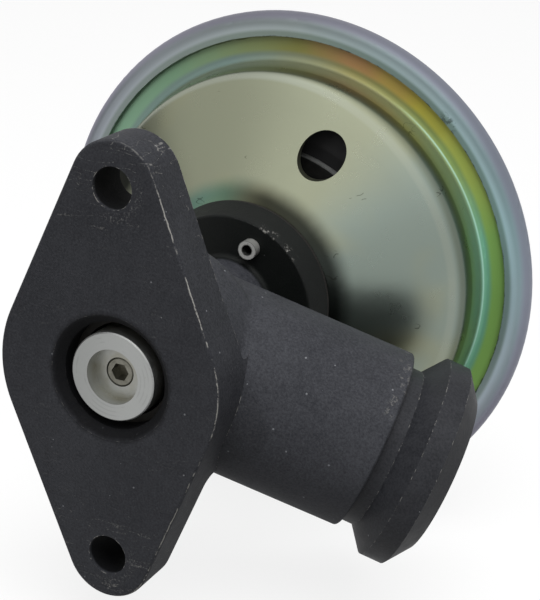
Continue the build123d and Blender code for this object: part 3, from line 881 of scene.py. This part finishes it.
# The solids, smoothed where their faces run into each other
solids = {
    "weldDistance": 0.002 * mm,
    "sharpAngle": math.radians(24),
}
nodeMaterials = {
    "valve_body": "blackCast",
    # the seat ring's soot black is also painted shade deep in the bore
    "seat_ring": "sootAndShadeSteel",
    "valve_head": "turnedSteel",
    "lock_screw": "screwSteel",
    "valve_stem": "screwSteel",
    "stem_guide": "sinteredBronze",
    "soot_shield": "sootAndShadeSteel",
    "stem_seal": "sealRubber",
    "seal_retainer": "brightZinc",
    "can_gasket": "gasketFibre",
    "can_rivets": "rivetSteel",
    "lower_can": "yellowZinc",
    "upper_can": "yellowZinc",
    "diaphragm": "sealRubber",
    "lower_plate": "plateSteel",
    "spring_cup": "brightZinc",
    "lock_washer": "brightZinc",
    "stem_nut": "brightZinc",
    "return_spring": "screwSteel",
    "spring_seat": "brightZinc",
    "bump_stop": "sealRubber",
    "vacuum_nipple": "brightZinc",
}


def smoothNode(node, material):
    node.data.materials.clear()
    node.data.materials.append(material)
    node.data.polygons.foreach_set("use_smooth", [True] * len(node.data.polygons))
    weld = node.modifiers.new("weld", "WELD")
    weld.merge_threshold = solids["weldDistance"]
    split = node.modifiers.new("split", "EDGE_SPLIT")
    split.split_angle = solids["sharpAngle"]


for name, materialName in nodeMaterials.items():
    smoothNode(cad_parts[name], materials[materialName])
print("solids finished")


# Copies of the diaphragm and the spring stand in for them, smoothed and hung on the housing. Anchors are
# in millimetres
softPieces = {
    "diaphragm": {
        "name": "diaphragmSheet",
        "slot": "seal_rubber",
        "anchor": (0, 66.2, 0),
        "keep": 0.302,
    },
    "return_spring": {
        "name": "springCoil",
        "slot": "zinc_steel",
        "anchor": (0, 77.9, 0),
        "keep": 0.6667,
    },
}


def makeSoftPiece(nodeName, values):
    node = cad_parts[nodeName]
    shape = bmesh.new()
    shape.from_mesh(node.data)
    shape.transform(node.matrix_world)
    bmesh.ops.remove_doubles(shape, verts=shape.verts, dist=solids["weldDistance"])
    sharp = [edge for edge in shape.edges if edge.calc_face_angle(0.0) > solids["sharpAngle"]]
    bmesh.ops.split_edges(shape, edges=sharp)
    for face in shape.faces:
        face.smooth = True
    mesh = bpy.data.meshes.new(values["name"])
    shape.to_mesh(mesh)
    shape.free()
    mesh.materials.append(materials[nodeMaterials[nodeName]])
    piece = bpy.data.objects.new(values["name"], mesh)
    bpy.context.scene.collection.objects.link(piece)
    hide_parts(nodeName)
    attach(piece, "housing")
    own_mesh(piece)


for nodeName, values in softPieces.items():
    makeSoftPiece(nodeName, values)
print("soft pieces made")


# Camera: a long lens, a little above the outlet's side. Its place is in millimetres
cameraPlace = {
    "position": (117.29, -203.30, 98.24),
    "turn": (70.130, -2.562, 25.106),
    "focalPixels": 1670.1,
    "imageHeight": 600,
    "sensor": 36.0,
    "nearest": 0.01,
}
cameraData = bpy.data.cameras.new("camera")
cameraData.sensor_width = cameraPlace["sensor"]
cameraData.lens = cameraPlace["focalPixels"] / cameraPlace["imageHeight"] * cameraPlace["sensor"]
cameraData.clip_start = cameraPlace["nearest"]
camera = bpy.data.objects.new("camera", cameraData)
bpy.context.scene.collection.objects.link(camera)
camera.location = Vector(cameraPlace["position"]) * mm
camera.rotation_euler = [math.radians(angle) for angle in cameraPlace["turn"]]
bpy.context.scene.camera = camera


# Floor and studio
studio = {
    "floorSize": 3.0,
    "floorGap": 0.2 * mm,
    "floorGrey": (0.16, 0.16, 0.16, 1.0),
    "floorRoughness": 0.9,
    "floorGloss": 0.1,
    "floorPale": 0.84,          # added for the camera, so that the lit floor comes out white
    "floorInMetal": 0.45,
    "white": (1, 1, 1, 1),
    "ambient": 0.22,
    "skyInMetal": (0.62, 0.50),  # all round, and more of it towards the softbox
    "softboxSpread": (0.55, 1.0),
    "darkSide": (-1.0, -0.08, 0.02),
    "darkSpread": (0.93, 0.985, 1.0, 0.02),
    "aim": (0, 0.03, 0),
    "softbox": {"place": (0.30, -0.34, 1.0), "size": (0.9, 0.8), "power": 15.0},
    "fill": {"place": (-0.5, -1.0, 0.45), "size": (0.8, 0.8), "power": 2.2},
}


def seenStraight(tree, path):
    return highest(tree, path["Is Camera Ray"], path["Is Transmission Ray"])


def makeFloorMaterial():
    material, tree, shader, _ = newMaterial("paleFloor")
    shader.inputs["Base Color"].default_value = studio["floorGrey"]
    shader.inputs["Roughness"].default_value = studio["floorRoughness"]
    shader.inputs["Specular IOR Level"].default_value = studio["floorGloss"]
    shader.inputs["Emission Color"].default_value = studio["white"]
    path = addNode(tree, "ShaderNodeLightPath").outputs
    pale = times(tree, seenStraight(tree, path), studio["floorPale"])
    pale = highest(tree, pale, times(tree, path["Is Glossy Ray"], studio["floorInMetal"]))
    tree.links.new(pale, shader.inputs["Emission Strength"])
    return material


def makeFloor():
    shape = bmesh.new()
    bmesh.ops.create_grid(shape, x_segments=1, y_segments=1, size=studio["floorSize"])
    bmesh.ops.translate(shape, vec=(0, 0, cadBox[0][2] - studio["floorGap"]), verts=shape.verts)
    mesh = bpy.data.meshes.new("floor")
    shape.to_mesh(mesh)
    shape.free()
    floor = bpy.data.objects.new("floor", mesh)
    bpy.context.scene.collection.objects.link(floor)
    mesh.materials.append(makeFloorMaterial())


def makeWorld():
    world = bpy.data.worlds.new("studio")
    bpy.context.scene.world = world
    world.use_nodes = True
    tree = world.node_tree
    background = tree.nodes["Background"]
    background.inputs["Color"].default_value = studio["white"]
    path = addNode(tree, "ShaderNodeLightPath").outputs
    direction = addNode(tree, "ShaderNodeTexCoord").outputs["Generated"]
    toSoftbox = Vector(studio["softbox"]["place"]).normalized()
    toSoftbox = vectorCalc(tree, "DOT_PRODUCT", direction, toSoftbox)
    toDark = Vector(studio["darkSide"]).normalized()
    toDark = vectorCalc(tree, "DOT_PRODUCT", direction, toDark)
    everywhere, extra = studio["skyInMetal"]
    inMetal = plus(tree, fade(tree, toSoftbox, *studio["softboxSpread"], 0.0, extra), everywhere)
    inMetal = times(tree, inMetal, fade(tree, toDark, *studio["darkSpread"]))
    level = times(tree, path["Is Glossy Ray"], minus(tree, inMetal, studio["ambient"]))
    level = highest(tree, plus(tree, level, studio["ambient"]), seenStraight(tree, path))
    tree.links.new(level, background.inputs["Strength"])


def addLamp(name, values):
    data = bpy.data.lights.new(name, "AREA")
    data.shape = "RECTANGLE"
    data.size, data.size_y = values["size"]
    data.energy = values["power"]
    lamp = bpy.data.objects.new(name, data)
    bpy.context.scene.collection.objects.link(lamp)
    lamp.location = values["place"]
    lamp.rotation_euler = (Vector(studio["aim"]) - lamp.location).to_track_quat("-Z", "Y").to_euler()
    lamp.visible_glossy = False


makeFloor()
makeWorld()
addLamp("softbox", studio["softbox"])
addLamp("fill", studio["fill"])
bpy.context.scene.view_settings.view_transform = "Standard"
print("studio lit")
